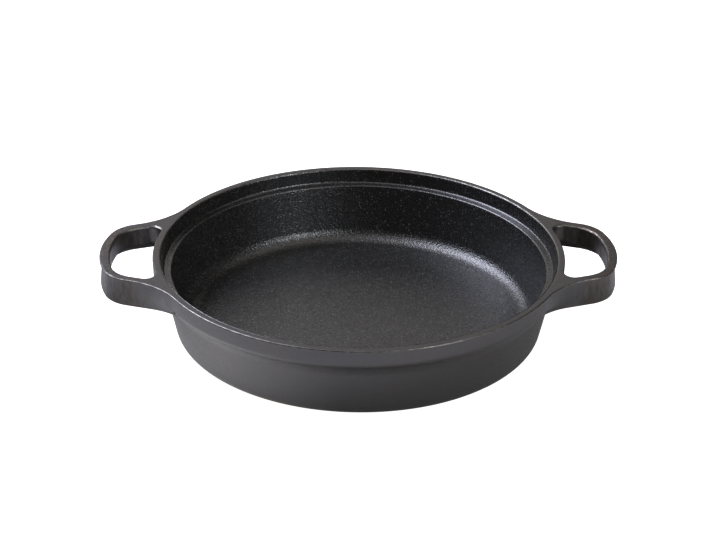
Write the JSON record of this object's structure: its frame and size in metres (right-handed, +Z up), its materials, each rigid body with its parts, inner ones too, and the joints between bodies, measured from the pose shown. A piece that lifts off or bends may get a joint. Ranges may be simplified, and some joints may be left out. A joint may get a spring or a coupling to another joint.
{
  "type": "cast iron pan",
  "caption": "Low round cast iron pan with a stepped-out rim, a flat smooth floor, a lid ledge inside the rim and loop handles at both sides.",
  "frame": {"origin": "middle of the flat underside, on the surface that the pan stands on", "axes": "+Z up out of the pan's mouth, +X through the right handle, so both handles lie along X"},
  "size_m": [0.3046, 0.2424, 0.048],
  "materials": {
    "bowl_iron": "smooth satin black cast iron with a fine skin and faint brown tinge at the rim",
    "inside_coat": "black grained coat with fine light speckles",
    "handle_iron": "satin black cast iron with edges worn a little brighter"
  },
  "bodies": {
    "root": {"pan_body": "bowl_iron", "inside_coat": "inside_coat", "left_handle": "handle_iron", "right_handle": "handle_iron"}
  },
  "joints": []
}
